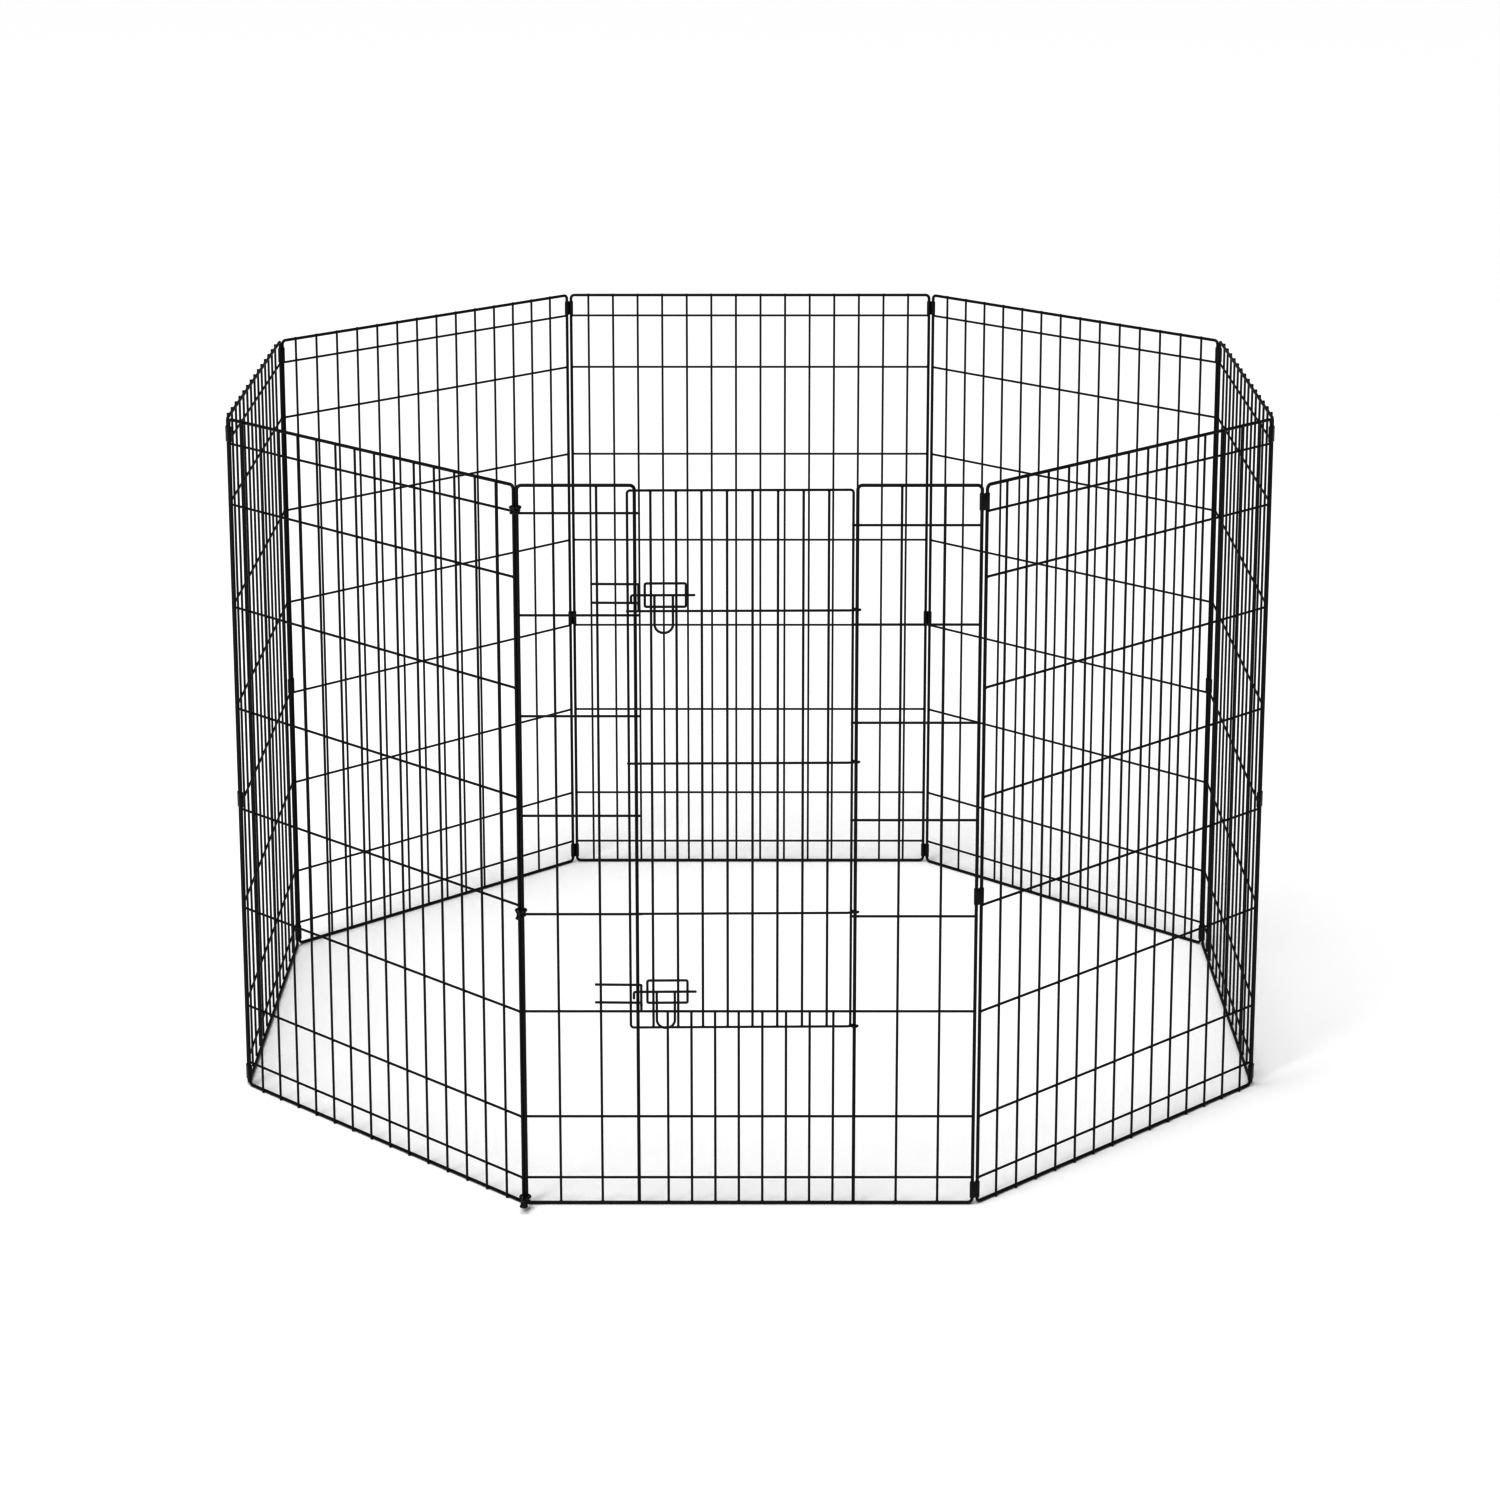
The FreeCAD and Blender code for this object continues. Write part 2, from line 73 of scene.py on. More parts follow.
DOOR_SIDE_GAP = 5.6
DOOR_WIDTH = 293.6
DOOR_FOOT = 256.0
DOOR_HEAD = 992.5
DOOR_BEND = 4.0
DOOR_OUT = 2.4
DOOR_LEAN = 0.85
DOOR_ROWS = (417.0, 625.0, 832.0)
DOOR_LEFT = RIGHT_JAMB - DOOR_SIDE_GAP - DOOR_WIDTH
DOOR_UPRIGHTS = tuple(DOOR_LEFT + 30.3 + 33.1 * i for i in range(8))
EYE_R = 4.2
EYE_LEAD = 10.0
EYE_END = -130.0

LATCHES = {"upper": (853.5, 13.2), "lower": (307.6, 7.4)}
KEEPER_GAP = 25.2
KEEPER_START = 98.0
KEEPER_FRONT = 160.0
KEEPER_START_OUT = 1.95
KEEPER_JAMB_OUT = 3.5
KEEPER_REACH = 13.6
KEEPER_TAIL = 33.0
KEEPER_WELD = 0.7
TIGHT_BEND = 2.5
GUIDE_LEFT = 168.0
GUIDE_RIGHT = 221.5
GUIDE_HALF = 15.7
GUIDE_OUT = 5.2
ARCH_OUT = 9.2
ROD_OUT = 5.8
ROD_LEFT = 157.7
ROD_RIGHT = 233.5
HOOK_SPLIT = 0.1
HOOK_ALONG = 150.0
HOOK_DROP = 10.0
LEGS = (180.5, 204.5)
LEG_OUT = 8.5
LEG_RISE = 1.0
PULL_DROP = 50.0
PULL_BEND = 11.5

CLIP_FEET = (9.5, 427.0, 965.0)
CLIP_HEIGHT = 22.0
SNAPS = {"top": 968.6, "middle": 418.6, "bottom": 10.0}
SIDES = ("front", "front_right", "right", "back_right", "back", "back_left", "left", "front_left")

WIRE_SIDES = 16
BEND_STEPS = 8
CUT_CHAMFER = 0.22
APOTHEM = PANEL_WIDTH / 2 / math.tan(math.pi / PANELS)
ON_EDGE = EDGE_R + MESH_R - WELD_SINK
ON_MESH = 2 * MESH_R - WELD_SINK
BOTTOM = EDGE_R
TOP = HEIGHT - EDGE_R
BACK_Y = Vector(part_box("back_panel_frame")[1]).y
RING_MIDDLE = Vector((0, BACK_Y - (APOTHEM + EDGE_R) * MM, 0))


# ---------------------------------------------------------------- places
def spot(along, out, up):
    """A place on the front panel, in metres in the pen's own frame."""
    return RING_MIDDLE + Vector((along - PANEL_WIDTH / 2, -APOTHEM - out, up)) * MM


def turned(centre, degrees):
    """A turn about the upright line through centre."""
    spin = Matrix.Rotation(math.radians(degrees), 4, "Z")
    return Matrix.Translation(centre) @ spin @ Matrix.Translation(-centre)


def side_turn(side):
    """Carries a shape from the front panel to another side of the ring."""
    return turned(RING_MIDDLE, 360 / PANELS * side)


DOOR_TURN = turned(spot(RIGHT_JAMB, 0, 0), DOOR_LEAN)


# ---------------------------------------------------------------- finishes
CLOUDS_PER_METRE = 9
SPECKS_PER_METRE = 260
PEEL_PER_METRE = 1400


def new_material(name):
    material = bpy.data.materials.new(name)
    material.use_nodes = True
    return material, material.node_tree.nodes, material.node_tree.links


def noise(nodes, links, source, scale, detail, roughness=0.55):
    """A noise pattern fixed to the piece, scale in repeats per metre."""
    node = nodes.new("ShaderNodeTexNoise")
    node.inputs["Scale"].default_value = scale
    node.inputs["Detail"].default_value = detail
    node.inputs["Roughness"].default_value = roughness
    links.new(source, node.inputs["Vector"])
    return node.outputs["Fac"]


def ramp(nodes, links, source, stops):
    """A colour ramp with (position, colour) stops; a plain number is a grey."""
    node = nodes.new("ShaderNodeValToRGB")
    for index, (position, colour) in enumerate(stops):
        if index < 2:
            stop = node.color_ramp.elements[index]
            stop.position = position
        else:
            stop = node.color_ramp.elements.new(position)
        shade = colour if isinstance(colour, tuple) else (colour, colour, colour)
        stop.color = (*shade, 1)
    links.new(source, node.inputs["Fac"])
    return node.outputs["Color"]


def coated_steel(name, dark, light, matt, peel_depth, scuff=0.6):
    """Baked black coating on steel: faint orange peel, cloudy sheen, and a few dull scuffs."""
    material, nodes, links = new_material(name)
    shader = nodes["Principled BSDF"]
    place = nodes.new("ShaderNodeTexCoord").outputs["Object"]
    cloud = noise(nodes, links, place, CLOUDS_PER_METRE, 5)
    speck = noise(nodes, links, place, SPECKS_PER_METRE, 6, 0.7)
    peel = noise(nodes, links, place, PEEL_PER_METRE, 2)
    tint = nodes.new("ShaderNodeMix")
    tint.data_type = "RGBA"
    links.new(ramp(nodes, links, cloud, [(0.35, dark), (0.7, light)]), tint.inputs["A"])
    scuff_colour = tuple(value * 2.4 + 0.006 for value in light)
    tint.inputs["B"].default_value = (*scuff_colour, 1)
    links.new(ramp(nodes, links, speck, [(scuff, 0.0), (scuff + 0.12, 0.55)]), tint.inputs["Factor"])
    links.new(tint.outputs["Result"], shader.inputs["Base Color"])
    links.new(ramp(nodes, links, speck, [(0.3, matt - 0.07), (0.75, matt + 0.16)]),
              shader.inputs["Roughness"])
    shader.inputs["Specular IOR Level"].default_value = 0.5
    bump = nodes.new("ShaderNodeBump")
    bump.inputs["Strength"].default_value = 0.5
    bump.inputs["Distance"].default_value = peel_depth
    links.new(peel, bump.inputs["Height"])
    links.new(bump.outputs["Normal"], shader.inputs["Normal"])
    return material


WIRE_COAT = coated_steel("black_coated_wire", (0.008, 0.008, 0.0085), (0.015, 0.015, 0.016),
                         0.36, 0.00005)
WELD_COAT = coated_steel("coating_over_weld", (0.011, 0.0107, 0.0105), (0.02, 0.0193, 0.019),
                         0.46, 0.00014, 0.52)
CLIP_COAT = coated_steel("black_coated_clip", (0.01, 0.01, 0.0107), (0.018, 0.018, 0.019),
                         0.34, 0.00006, 0.56)
SNAP_COAT = coated_steel("black_cast_snap", (0.012, 0.012, 0.0128), (0.022, 0.022, 0.0235),
                         0.32, 0.00012, 0.54)


# ---------------------------------------------------------------- wire-bending helpers
def faces_of(verts):
    return {face for vert in verts for face in vert.link_faces}


def new_ring(bm, centre, heading, radius, sides=WIRE_SIDES):
    """A circle of edges square to heading: the section of a wire about to be drawn out."""
    aim = heading.to_track_quat("Z", "Y").to_matrix().to_4x4()
    made = bmesh.ops.create_circle(bm, segments=sides, radius=radius,
                                   matrix=Matrix.Translation(centre) @ aim)
    return list({edge for vert in made["verts"] for edge in vert.link_edges})


def drawn(bm, ring, shift, swell=1.0):
    """Extrudes the ring by shift, and swells or shrinks its end."""
    made = bmesh.ops.extrude_edge_only(bm, edges=ring)["geom"]
    verts = [item for item in made if isinstance(item, bmesh.types.BMVert)]
    fresh = set(verts)
    bmesh.ops.translate(bm, verts=verts, vec=shift)
    if swell != 1.0:
        centre = sum((vert.co for vert in verts), Vector()) / len(verts)
        bmesh.ops.scale(bm, verts=verts, vec=(swell,) * 3, space=Matrix.Translation(-centre))
    return [item for item in made if isinstance(item, bmesh.types.BMEdge) and fresh >= set(item.verts)]


def curled(bm, ring, centre, axis, angle, steps=BEND_STEPS):
    """Turns the ring about an axis through centre, leaving a bend behind it."""
    made = bmesh.ops.spin(bm, geom=ring, cent=centre, axis=axis, dvec=(0, 0, 0), angle=angle,
                          space=Matrix(), steps=steps, use_merge=False, use_normal_flip=False,
                          use_duplicate=False)["geom_last"]
    return [item for item in made if isinstance(item, bmesh.types.BMEdge)]


def middle_of(ring):
    verts = {vert for edge in ring for vert in edge.verts}
    return sum((vert.co for vert in verts), Vector()) / len(verts)


def sheared(bm, ring, heading, radius):
    """Closes a wire's end as the cutter leaves it, with a small burred chamfer."""
    tip = drawn(bm, ring, heading * radius * CUT_CHAMFER, 1 - CUT_CHAMFER)
    bmesh.ops.edgeloop_fill(bm, edges=tip)


def bent_path(bm, ring, here, points, bend, steps=BEND_STEPS):
    """Draws the ring on from here through points, with a tangent bend at each inner one."""
    course = [here, *points]
    for before, corner, after in zip(course, course[1:], course[2:]):
        back = (before - corner).normalized()
        ahead = (after - corner).normalized()
        half = back.angle(ahead) / 2
        setback = bend / math.tan(half)
        ring = drawn(bm, ring, corner + back * setback - here)
        centre = corner + (back + ahead).normalized() * (bend / math.sin(half))
        ring = curled(bm, ring, centre, ahead.cross(back), math.pi - 2 * half, steps)
        here = corner + ahead * setback
    return drawn(bm, ring, course[-1] - here)


def add_wire(bm, points, radius, bend=EDGE_BEND, ends=(True, True), sides=WIRE_SIDES):
    """A round wire through points in metres, with cut ends."""
    first = (points[1] - points[0]).normalized()
    last = (points[-1] - points[-2]).normalized()
    trim = radius * MM * CUT_CHAMFER
    start = points[0] + first * trim if ends[0] else points[0]
    finish = points[-1] - last * trim if ends[1] else points[-1]
    ring = new_ring(bm, start, first, radius * MM, sides)
    if ends[0]:
        sheared(bm, ring, -first, radius * MM)
    end = bent_path(bm, ring, start, [*points[1:-1], finish], bend * MM)
    if ends[1]:
        sheared(bm, end, last, radius * MM)
    return end


def add_loop(bm, corners, radius, bend=EDGE_BEND):
    """A closed wire loop: it starts and ends half way along its last side."""
    start = (corners[-1] + corners[0]) / 2
    ring = new_ring(bm, start, (corners[0] - start).normalized(), radius * MM)
    bent_path(bm, ring, start, [*corners, start], bend * MM)
    bmesh.ops.remove_doubles(bm, verts=bm.verts, dist=1e-6)


def add_blob(bm, where, size, heading=None):
    """A small rounded bead of weld, size being its three radii in millimetres."""
    aim = heading.to_track_quat("Z", "Y").to_matrix().to_4x4() if heading else Matrix()
    made = bmesh.ops.create_uvsphere(
        bm, u_segments=8, v_segments=5, radius=MM,
        matrix=Matrix.Translation(where) @ aim @ Matrix.Diagonal((*size, 1)))
    for face in faces_of(made["verts"]):
        face.material_index = 1


def cross_weld(bm, along, out, up):
    """The metal squeezed out where two crossing wires are welded."""
    add_blob(bm, spot(along, out, up), (2.05, 0.95, 2.05))


def finish_piece(name, bm, body, nodes, materials, carry=None, sharp=40):
    """Turns the bmesh into a piece of the pen that rides on a body and stands for CAD nodes."""
    if carry is not None:
        bmesh.ops.transform(bm, matrix=carry, verts=bm.verts)
    bmesh.ops.recalc_face_normals(bm, faces=bm.faces)
    mesh = bpy.data.meshes.new(name)
    bm.to_mesh(mesh)
    bm.free()
    mesh.shade_smooth()
    mesh.set_sharp_from_angle(angle=math.radians(sharp))
    for material in materials:
        mesh.materials.append(material)
    thing = bpy.data.objects.new(name, mesh)
    bpy.context.scene.collection.objects.link(thing)
    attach(thing, body)
    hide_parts(*nodes)
    return thing


WIRE_FINISH = (WIRE_COAT, WELD_COAT)


# ---------------------------------------------------------------- plain panels
def panel_edges(side):
    left = CLOSING_SETBACK if side == 0 else HINGE_SETBACK
    right = CLOSING_SETBACK if side == PANELS - 1 else HINGE_SETBACK
    return left, PANEL_WIDTH - right


def make_panel(side):
    name = SIDES[side]
    body = name + "_panel"
    left, right = panel_edges(side)
    first = HINGE_SETBACK + LEFT_UPRIGHT_GAP
    last = PANEL_WIDTH - HINGE_SETBACK - RIGHT_UPRIGHT_GAP
    places = [first + (last - first) / (UPRIGHTS - 1) * i for i in range(UPRIGHTS)]
    weld_out = EDGE_R - WELD_SINK / 2

    bm = bmesh.new()
    add_loop(bm, [spot(right, 0, TOP), spot(left, 0, TOP), spot(left, 0, BOTTOM),
                  spot(right, 0, BOTTOM)], EDGE_R)
    add_blob(bm, spot(right, 0, HEIGHT / 2), (2.4, 2.4, 0.9))
    finish_piece(name + "_edge_wire", bm, body, [body + "_frame"], WIRE_FINISH,
                 side_turn(side))

    bm = bmesh.new()
    for along in places:
        add_wire(bm, [spot(along, ON_EDGE, END_TRIM), spot(along, ON_EDGE, HEIGHT - END_TRIM)], MESH_R)
        for up in (BOTTOM, TOP):
            cross_weld(bm, along, weld_out, up)
    finish_piece(name + "_upright_wires", bm, body, [body + "_uprights"], WIRE_FINISH,
                 side_turn(side))

    bm = bmesh.new()
    reach = EDGE_R - BUTT_SINK
    for up in ROW_HEIGHTS:
        level = BOTTOM + up
        add_wire(bm, [spot(left + reach, ON_EDGE - ON_MESH, level),
                      spot(right - reach, ON_EDGE - ON_MESH, level)], MESH_R)
        for along in places:
            cross_weld(bm, along, weld_out, level)
        for along in (left + EDGE_R, right - EDGE_R):
            add_blob(bm, spot(along, ON_EDGE - ON_MESH, level), (0.9, 1.9, 2.1))
    finish_piece(name + "_level_wires", bm, body, [body + "_rows"], WIRE_FINISH,
                 side_turn(side))


for panel_side in range(1, PANELS):
    make_panel(panel_side)


# ---------------------------------------------------------------- front panel
def make_front_panel():
    left, right = panel_edges(0)
    foot = BOTTOM + EDGE_R
    bm = bmesh.new()
    add_wire(bm, [spot(LEFT_JAMB, 0, foot), spot(LEFT_JAMB, 0, TOP), spot(left, 0, TOP),
                  spot(left, 0, BOTTOM), spot(right, 0, BOTTOM), spot(right, 0, TOP),
                  spot(RIGHT_JAMB, 0, TOP), spot(RIGHT_JAMB, 0, foot)], EDGE_R)
    for jamb in (LEFT_JAMB, RIGHT_JAMB):
        add_blob(bm, spot(jamb, 0, foot - 0.3), (3.0, 2.7, 1.6))
    finish_piece("front_edge_wire", bm, "front_panel", ["front_panel_frame"],
                 WIRE_FINISH)

    bm = bmesh.new()
    plane = ON_MESH - ON_EDGE
    butts = (BOTTOM + EDGE_R - BUTT_SINK, TOP - EDGE_R + BUTT_SINK)
    for along in TALL_UPRIGHTS:
        add_wire(bm, [spot(along, plane, butts[0]), spot(along, plane, butts[1])], MESH_R)
        add_blob(bm, spot(along, plane, butts[0] + 0.5), (2.1, 1.9, 0.8))
        add_blob(bm, spot(along, plane, butts[1] - 0.5), (2.1, 1.9, 0.8))
    for along in SILL_UPRIGHTS:
        add_wire(bm, [spot(along, plane, butts[0]),
                      spot(along, plane, BOTTOM + FULL_ROWS[-1] + MESH_R)], MESH_R)
        add_blob(bm, spot(along, plane, butts[0] + 0.5), (2.1, 1.9, 0.8))
    finish_piece("front_upright_wires", bm, "front_panel", ["front_panel_uprights"],
                 WIRE_FINISH)

    bm = bmesh.new()
    edge = EDGE_R - WELD_SINK / 2
    spans = [(left - EDGE_R, right + EDGE_R, up) for up in FULL_ROWS]
    spans += [(left - EDGE_R, LEFT_JAMB + EDGE_R + ROW_STUB, up) for up in LEFT_ROWS]
    spans += [(RIGHT_JAMB - EDGE_R - ROW_STUB, right + EDGE_R, up) for up in RIGHT_ROWS]
    for start, end, up in spans:
        level = BOTTOM + up
        add_wire(bm, [spot(start, -ON_EDGE, level), spot(end, -ON_EDGE, level)], MESH_R)
        for along in (left, LEFT_JAMB, RIGHT_JAMB, right):
            if start < along < end:
                cross_weld(bm, along, -edge, level)
        for along in TALL_UPRIGHTS:
            if start < along < end:
                cross_weld(bm, along, -edge, level)
        if up in FULL_ROWS:
            for along in SILL_UPRIGHTS:
                cross_weld(bm, along, -edge, level)
    finish_piece("front_level_wires", bm, "front_panel", ["front_panel_rows"],
                 WIRE_FINISH)

    for latch, (middle, rise) in LATCHES.items():
        high = middle + rise
        low = high - KEEPER_GAP
        bm = bmesh.new()
        add_wire(bm, [spot(KEEPER_START, KEEPER_START_OUT, high),
                      spot(KEEPER_FRONT, KEEPER_JAMB_OUT, high),
                      spot(KEEPER_FRONT, KEEPER_REACH, high),
                      spot(KEEPER_FRONT, KEEPER_REACH, high - KEEPER_TAIL)], MESH_R, TIGHT_BEND)
        add_wire(bm, [spot(KEEPER_START, KEEPER_START_OUT, low),
                      spot(KEEPER_FRONT, KEEPER_JAMB_OUT, low),
                      spot(KEEPER_FRONT, KEEPER_REACH - KEEPER_WELD, low)], MESH_R, TIGHT_BEND)
        add_blob(bm, spot(KEEPER_FRONT, KEEPER_REACH - 1.2, low), (1.9, 1.2, 1.9))
        for up in (high, low):
            cross_weld(bm, TALL_UPRIGHTS[1], 0.75, up)
            cross_weld(bm, LEFT_JAMB, 2.05, up)
        finish_piece(latch + "_keeper_loop", bm, "front_panel", [latch + "_latch_keeper"],
                     WIRE_FINISH)


make_front_panel()


# ---------------------------------------------------------------- door
def add_eyed_wire(bm, out, up, points, bend):
    """A door wire that starts curled round the hinge jamb, then runs through points."""
    hinge = spot(RIGHT_JAMB, 0, up)
    lead = Vector((-EYE_LEAD, -out, 0)) * MM
    aim = math.degrees(math.atan2(out, -EYE_LEAD) - math.acos(EYE_R / math.hypot(EYE_LEAD, out)))
    start_angle = math.radians(EYE_END)
    start = hinge + Vector((math.cos(start_angle), -math.sin(start_angle), 0)) * EYE_R * MM
    heading = Vector((-math.sin(start_angle), -math.cos(start_angle), 0))
    ring = new_ring(bm, start, heading, MESH_R * MM)
    sheared(bm, ring, -heading, MESH_R * MM)
    ring = curled(bm, ring, hinge, Vector((0, 0, 1)), math.radians(aim - EYE_END), 28)
    here = middle_of(ring)
    last = (points[-1] - (points[-2] if len(points) > 1 else hinge + lead)).normalized()
    finish = points[-1] - last * MESH_R * MM * CUT_CHAMFER
    end = bent_path(bm, ring, here, [hinge + lead, *points[:-1], finish], bend * MM)
    sheared(bm, end, last, MESH_R * MM)


def make_door():
    near = RIGHT_JAMB - DOOR_SIDE_GAP
    weld_out = DOOR_OUT + MESH_R - WELD_SINK / 2
    bm = bmesh.new()
    add_eyed_wire(bm, DOOR_OUT, DOOR_FOOT,
                  [spot(DOOR_LEFT, DOOR_OUT, DOOR_FOOT), spot(DOOR_LEFT, DOOR_OUT, DOOR_HEAD),
                   spot(near, DOOR_OUT, DOOR_HEAD), spot(near, DOOR_OUT, DOOR_FOOT)], DOOR_BEND)
    add_blob(bm, spot(near, DOOR_OUT, DOOR_FOOT + 1.6), (2.2, 2.0, 1.2))
    finish_piece("door_edge_wire", bm, "door", ["door_frame"], WIRE_FINISH, DOOR_TURN)

    bm = bmesh.new()
    foot = DOOR_FOOT + MESH_R - BUTT_SINK
    head = DOOR_HEAD - MESH_R + BUTT_SINK
    for along in DOOR_UPRIGHTS:
        add_wire(bm, [spot(along, DOOR_OUT, foot), spot(along, DOOR_OUT, head)], MESH_R)
        for up in (foot + 0.5, head - 0.5):
            add_blob(bm, spot(along, DOOR_OUT, up), (1.95, 1.85, 0.8))
    finish_piece("door_upright_wires", bm, "door", ["door_uprights"], WIRE_FINISH,
                 DOOR_TURN)

    bm = bmesh.new()
    out = DOOR_OUT + ON_MESH
    for up in DOOR_ROWS:
        add_eyed_wire(bm, out, up, [spot(DOOR_LEFT - MESH_R, out, up)], DOOR_BEND)
        for along in (DOOR_LEFT, *DOOR_UPRIGHTS):
            cross_weld(bm, along, weld_out, up)
        cross_weld(bm, near, DOOR_OUT + MESH_R, up)
    finish_piece("door_level_wires", bm, "door", ["door_rows"], WIRE_FINISH, DOOR_TURN)

    for latch, (middle, _) in LATCHES.items():
        make_latch(latch, middle, weld_out)


def make_latch(latch, middle, weld_out):
    """The guide on the door, the rod that slides in it, its pull, and its turned-down tip."""
    high = middle + GUIDE_HALF
    low = middle - GUIDE_HALF
    shoulder = 6.0
    bm = bmesh.new()
    add_loop(bm, [spot(GUIDE_RIGHT, GUIDE_OUT, high), spot(GUIDE_LEFT, GUIDE_OUT, high),
                  spot(GUIDE_LEFT, ARCH_OUT, high - shoulder), spot(GUIDE_LEFT, ARCH_OUT, low + shoulder),
                  spot(GUIDE_LEFT, GUIDE_OUT, low), spot(GUIDE_RIGHT, GUIDE_OUT, low),
                  spot(GUIDE_RIGHT, ARCH_OUT, low + shoulder),
                  spot(GUIDE_RIGHT, ARCH_OUT, high - shoulder)], MESH_R, 2.2)
    for along in DOOR_UPRIGHTS:
        if GUIDE_LEFT < along < GUIDE_RIGHT:
            for up in (high, low):
                cross_weld(bm, along, weld_out, up)
    finish_piece(latch + "_guide_loop", bm, "door", [latch + "_latch_guide"],
                 WIRE_FINISH, DOOR_TURN)

    bm = bmesh.new()
    add_wire(bm, [spot(ROD_LEFT, ROD_OUT, middle), spot(ROD_RIGHT, ROD_OUT, middle)], MESH_R,
             ends=(False, True))
    bmesh.ops.holes_fill(bm, edges=bm.edges, sides=0)
    finish_piece(latch + "_slide_rod", bm, latch + "_latch_rod", [latch + "_latch_rod"],
                 WIRE_FINISH, DOOR_TURN)

    bm = bmesh.new()
    left, right = LEGS
    add_wire(bm, [spot(left, LEG_OUT, middle + LEG_RISE), spot(left, LEG_OUT, middle - PULL_DROP),
                  spot(right, LEG_OUT, middle - PULL_DROP), spot(right, LEG_OUT, middle + LEG_RISE)],
             MESH_R, PULL_BEND)
    for along in LEGS:
        add_blob(bm, spot(along, ROD_OUT + 1.75, middle), (2.3, 0.8, 1.9))
    finish_piece(latch + "_pull_handle", bm, latch + "_latch_pull", [latch + "_latch_handle"],
                 WIRE_FINISH, DOOR_TURN)

    bm = bmesh.new()
    add_wire(bm, [spot(ROD_LEFT - HOOK_SPLIT, ROD_OUT, middle), spot(HOOK_ALONG, ROD_OUT, middle),
                  spot(HOOK_ALONG, ROD_OUT, middle - HOOK_DROP)], MESH_R, TIGHT_BEND,
             ends=(False, True))
    bmesh.ops.holes_fill(bm, edges=bm.edges, sides=0)
    finish_piece(latch + "_hooked_tip", bm, latch + "_latch_pull", [latch + "_latch_hook"],
                 WIRE_FINISH, DOOR_TURN)


make_door()


# ---------------------------------------------------------------- corner clips
def make_clips(corner):
    """Sheet clips pressed round both edge wires and waisted between them."""
    here = spot(PANEL_WIDTH, 0, 0)
    half = math.pi / PANELS
    back = Vector((-HINGE_SETBACK, 0, 0)) * MM
    ahead = Vector((math.cos(2 * half), math.sin(2 * half), 0)) * HINGE_SETBACK * MM
    first, second = here + back, here + ahead
    across = (second - first).normalized()
    out = Vector((across.y, -across.x, 0))
    wrap = (EDGE_R + 0.15 + 1.0) * MM
    waist = 1.15 * MM
    bm = bmesh.new()
    for foot in CLIP_FEET:
        lift = Vector((0, 0, foot * MM))
        arms = []
        for wire, sign in ((first, 1), (second, -1)):
            reach = math.asin(waist / wrap)
            toward = across * sign * math.cos(reach) + out * math.sin(reach)
            begin = wire + lift + toward * wrap
            vert = bmesh.ops.create_vert(bm, co=begin)["vert"][0]
            made = bmesh.ops.spin(bm, geom=[vert], cent=wire + lift, axis=(0, 0, 1),
                                  dvec=(0, 0, 0), angle=sign * (2 * math.pi - 2 * reach),
                                  space=Matrix(), steps=26, use_merge=False,
                                  use_normal_flip=False, use_duplicate=False)["geom_last"]
            last = [item for item in made if isinstance(item, bmesh.types.BMVert)][0]
            arms.append((vert, last))
        bm.edges.new((arms[0][0], arms[1][0]))
        bm.edges.new((arms[0][1], arms[1][1]))
    outline = list(bm.edges)
    made = bmesh.ops.extrude_edge_only(bm, edges=outline)["geom"]
    verts = [item for item in made if isinstance(item, bmesh.types.BMVert)]
    bmesh.ops.translate(bm, verts=verts, vec=(0, 0, CLIP_HEIGHT * MM))
    bmesh.ops.recalc_face_normals(bm, faces=bm.faces)
    thing = finish_piece(f"corner_{corner}_sheet_clips", bm, SIDES[corner - 1] + "_panel",
                         [f"corner_{corner}_clips"], (CLIP_COAT,),
                         side_turn(corner - 1), 50)
    wall = thing.modifiers.new("sheet", "SOLIDIFY")
    wall.thickness = 0.95 * MM
    wall.offset = -1
    edge = thing.modifiers.new("rounded_edges", "BEVEL")
    edge.width = 0.25 * MM
    edge.segments = 2
    edge.limit_method = "ANGLE"


for clip_corner in range(1, PANELS):
    make_clips(clip_corner)


# ---------------------------------------------------------------- snaps
LEFT_WIRE = spot(-CLOSING_SETBACK * math.cos(math.pi / 4), -CLOSING_SETBACK * math.sin(math.pi / 4), 0)
SNAP_MIDDLE = (LEFT_WIRE + spot(CLOSING_SETBACK, 0, 0)) / 2


def snap_spot(reach, side, height):
    return SNAP_MIDDLE + Vector((side, -reach, height)) * MM


OUTWARD = Vector((0, -1, 0))


def add_lathe(bm, profile, centre, axis, steps=24):
    """A turned shape: profile is (distance along axis, radius) in millimetres from end to end."""
    side = Vector((1, 0, 0)) if abs(axis.x) < 0.9 else Vector((0, 0, 1))
    verts = [bmesh.ops.create_vert(bm, co=centre + (axis * along + side * radius) * MM)["vert"][0]
             for along, radius in profile]
    edges = [bm.edges.new(pair) for pair in zip(verts, verts[1:])]
    bmesh.ops.spin(bm, geom=verts + edges, cent=centre, axis=axis, dvec=(0, 0, 0),
                   angle=2 * math.pi, space=Matrix(), steps=steps, use_merge=True,
                   use_normal_flip=False, use_duplicate=False)
    bmesh.ops.remove_doubles(bm, verts=bm.verts, dist=2e-6)


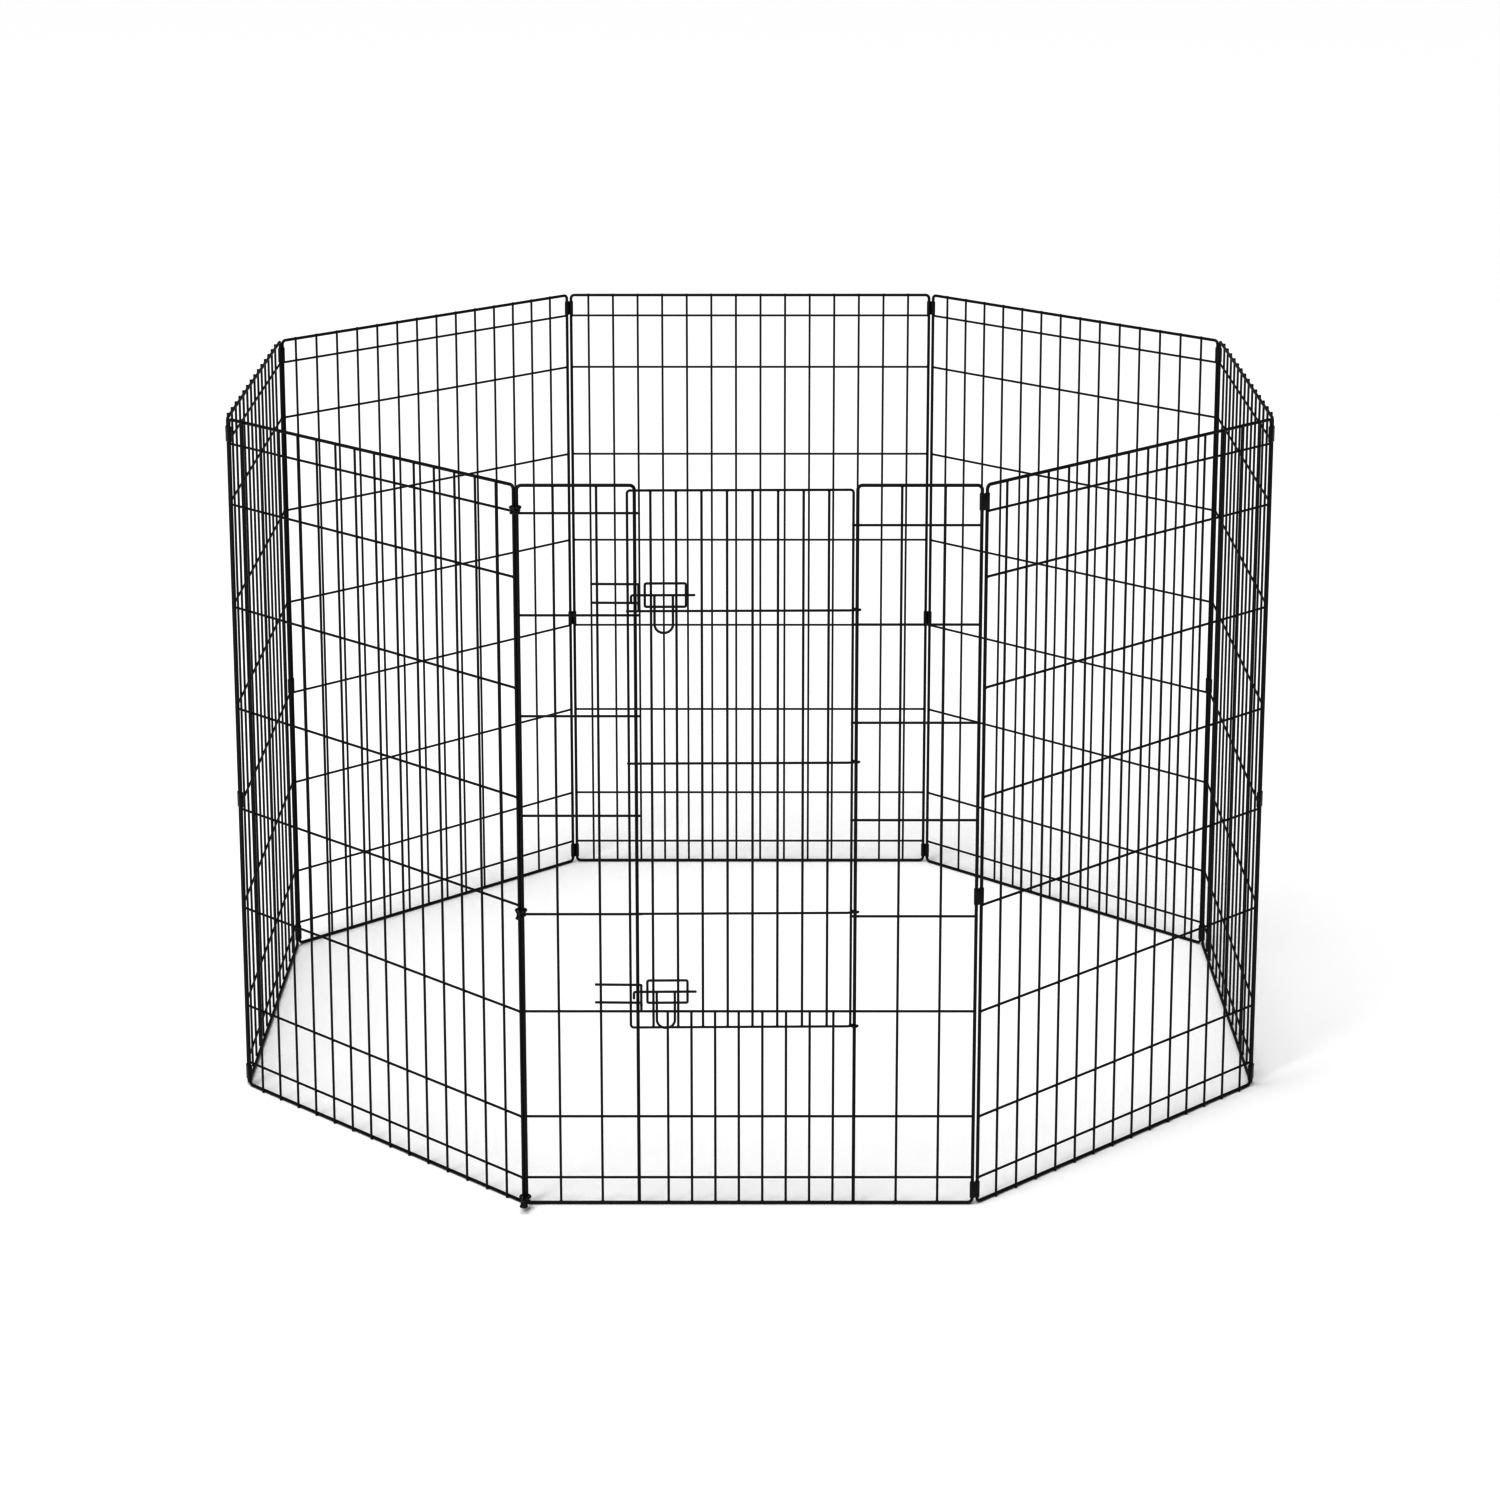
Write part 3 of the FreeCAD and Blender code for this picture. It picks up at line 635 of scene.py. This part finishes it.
def cut_from(thing, cutter_bm):
    """Cuts a shape out of a piece for good."""
    mesh = bpy.data.meshes.new("cutter")
    bmesh.ops.recalc_face_normals(cutter_bm, faces=cutter_bm.faces)
    cutter_bm.to_mesh(mesh)
    cutter_bm.free()
    cutter = bpy.data.objects.new("cutter", mesh)
    bpy.context.scene.collection.objects.link(cutter)
    cut = thing.modifiers.new("cut", "BOOLEAN")
    cut.operation = "DIFFERENCE"
    cut.solver = "EXACT"
    cut.object = cutter
    seen = thing.evaluated_get(bpy.context.evaluated_depsgraph_get())
    done = bpy.data.meshes.new_from_object(seen)
    thing.modifiers.clear()
    thing.data = done
    bpy.data.objects.remove(cutter)


def make_snap(place, height):
    base = snap_spot(0, 0, height)
    loop_r = 6.6
    stem_reach = 14.5
    stem_side = -3.0
    stem = math.atan2(stem_side, stem_reach) - math.acos(loop_r / math.hypot(stem_reach, stem_side))
    tip = math.asin(2.4 / loop_r) - 2 * math.pi
    bm = bmesh.new()
    start = snap_spot(stem_reach, stem_side, height)
    meet = snap_spot(loop_r * math.cos(stem), loop_r * math.sin(stem), height)
    ring = new_ring(bm, start, (meet - start).normalized(), 1.6 * MM)
    bmesh.ops.edgeloop_fill(bm, edges=ring)
    ring = drawn(bm, ring, meet - start)
    ring = curled(bm, ring, base, Vector((0, 0, 1)), tip - stem, 30)
    heading = Vector((-math.cos(tip), -math.sin(tip), 0)).normalized()
    ring = drawn(bm, ring, heading * 0.45 * MM, 0.86)
    ring = drawn(bm, ring, heading * 0.2 * MM, 0.6)
    bmesh.ops.edgeloop_fill(bm, edges=ring)
    add_lathe(bm, [(12.5, 0), (12.5, 3.7), (12.8, 4.2), (13.4, 4.35), (14.0, 4.3), (14.6, 4.6),
                   (22.6, 4.6), (23.2, 4.35), (24.0, 4.3), (25.6, 4.55), (26.2, 4.2), (26.5, 3.6),
                   (26.5, 0)], base, OUTWARD, 32)
    body = finish_piece(place + "_hook_casting", bm, "front_panel", [place + "_snap_hook"],
                        (SNAP_COAT,), None, 38)
    bm = bmesh.new()
    add_lathe(bm, [(11.5, 0), (11.5, 1.25), (22.1, 1.25), (22.1, 0)], snap_spot(0, 2.4, height),
              OUTWARD, 20)
    bmesh.ops.create_cube(bm, size=1, matrix=Matrix.Translation(snap_spot(17.4, 5.0, height))
                          @ Matrix.Diagonal((5.2 * MM, 7.7 * MM, 2.9 * MM, 1)))
    cut_from(body, bm)

    bm = bmesh.new()
    add_lathe(bm, [(8.0, 0), (8.0, 0.7), (8.4, 1.1), (17.0, 1.1), (17.0, 0)],
              snap_spot(0, 2.4, height), OUTWARD, 20)
    add_lathe(bm, [(2.4, 0), (2.4, 1.2), (5.0, 1.2), (5.0, 1.9), (5.3, 2.2), (6.0, 2.2), (6.4, 1.9),
                   (6.6, 1.2), (6.6, 0)], snap_spot(15.0, 0, height), Vector((1, 0, 0)), 20)
    finish_piece(place + "_thumb_bolt", bm, place + "_snap_bolt", [place + "_snap_thumb_bolt"],
                 (SNAP_COAT,), None, 38)

    bm = bmesh.new()
    ring = new_ring(bm, snap_spot(32.5 - 4.2, 0, height), Vector((1, 0, 0)), 1.2 * MM)
    curled(bm, ring, snap_spot(32.5, 0, height), Vector((0, 0, 1)), 2 * math.pi, 40)
    bmesh.ops.remove_doubles(bm, verts=bm.verts, dist=2e-6)
    add_lathe(bm, [(23.0, 0), (23.0, 1.2), (26.6, 1.2), (26.8, 2.3), (27.4, 2.5), (28.0, 2.1),
                   (28.6, 1.1), (28.6, 0)], base, OUTWARD, 20)
    finish_piece(place + "_swivel_ring", bm, place + "_snap_eye", [place + "_snap_swivel_eye"],
                 (SNAP_COAT,), None, 38)


for snap_place, snap_height in SNAPS.items():
    make_snap(snap_place, snap_height)


# ---------------------------------------------------------------- floor, light and camera
floor_bm = bmesh.new()
bmesh.ops.create_grid(floor_bm, x_segments=1, y_segments=1, size=60,
                      matrix=Matrix.Translation((0, 0, -0.0006)))
floor_mesh = bpy.data.meshes.new("studio_floor")
floor_bm.to_mesh(floor_mesh)
floor_bm.free()
floor = bpy.data.objects.new("studio_floor", floor_mesh)
bpy.context.scene.collection.objects.link(floor)
paper, paper_nodes, _ = new_material("white_paper")
paper_nodes["Principled BSDF"].inputs["Base Color"].default_value = (0.93, 0.93, 0.93, 1)
paper_nodes["Principled BSDF"].inputs["Roughness"].default_value = 0.9
floor_mesh.materials.append(paper)

world = bpy.data.worlds.new("studio")
bpy.context.scene.world = world
world.use_nodes = True
tree = world.node_tree
sky = tree.nodes["Background"]
sky.inputs["Color"].default_value = (1, 1, 1, 1)
seen_directly = tree.nodes.new("ShaderNodeLightPath").outputs["Is Camera Ray"]
strength = tree.nodes.new("ShaderNodeMapRange")
strength.inputs["To Min"].default_value = 0.42
strength.inputs["To Max"].default_value = 1.15
tree.links.new(seen_directly, strength.inputs["Value"])
tree.links.new(strength.outputs["Result"], sky.inputs["Strength"])


def add_softbox(name, place, aim, size, power):
    light = bpy.data.lights.new(name, "AREA")
    light.shape = "RECTANGLE"
    light.size, light.size_y = size
    light.energy = power
    thing = bpy.data.objects.new(name, light)
    thing.location = place
    thing.rotation_euler = (Vector(aim) - Vector(place)).to_track_quat("-Z", "Y").to_euler()
    bpy.context.scene.collection.objects.link(thing)


add_softbox("front_left", (-5.0, -7.0, 3.5), (0, 0, 0.5), (3, 3), 260)
skylight_data = bpy.data.lights.new("skylight", "SUN")
skylight_data.energy = 2.3
skylight_data.angle = math.radians(50)
skylight = bpy.data.objects.new("skylight", skylight_data)
skylight.rotation_euler = (math.radians(18), math.radians(-14), 0)
bpy.context.scene.collection.objects.link(skylight)

camera_data = bpy.data.cameras.new("camera")
camera_data.sensor_width = 36
camera_data.lens = 89.3
camera_data.shift_y = -0.15
camera_data.clip_end = 200
camera = bpy.data.objects.new("camera", camera_data)
camera.location = RING_MIDDLE + Vector((0, -5.440, 2.044))
camera.rotation_euler = (math.radians(90 - 13.15), 0, 0)
bpy.context.scene.collection.objects.link(camera)
bpy.context.scene.camera = camera
bpy.context.scene.view_settings.view_transform = "Standard"
bpy.context.scene.view_settings.gamma = 0.55
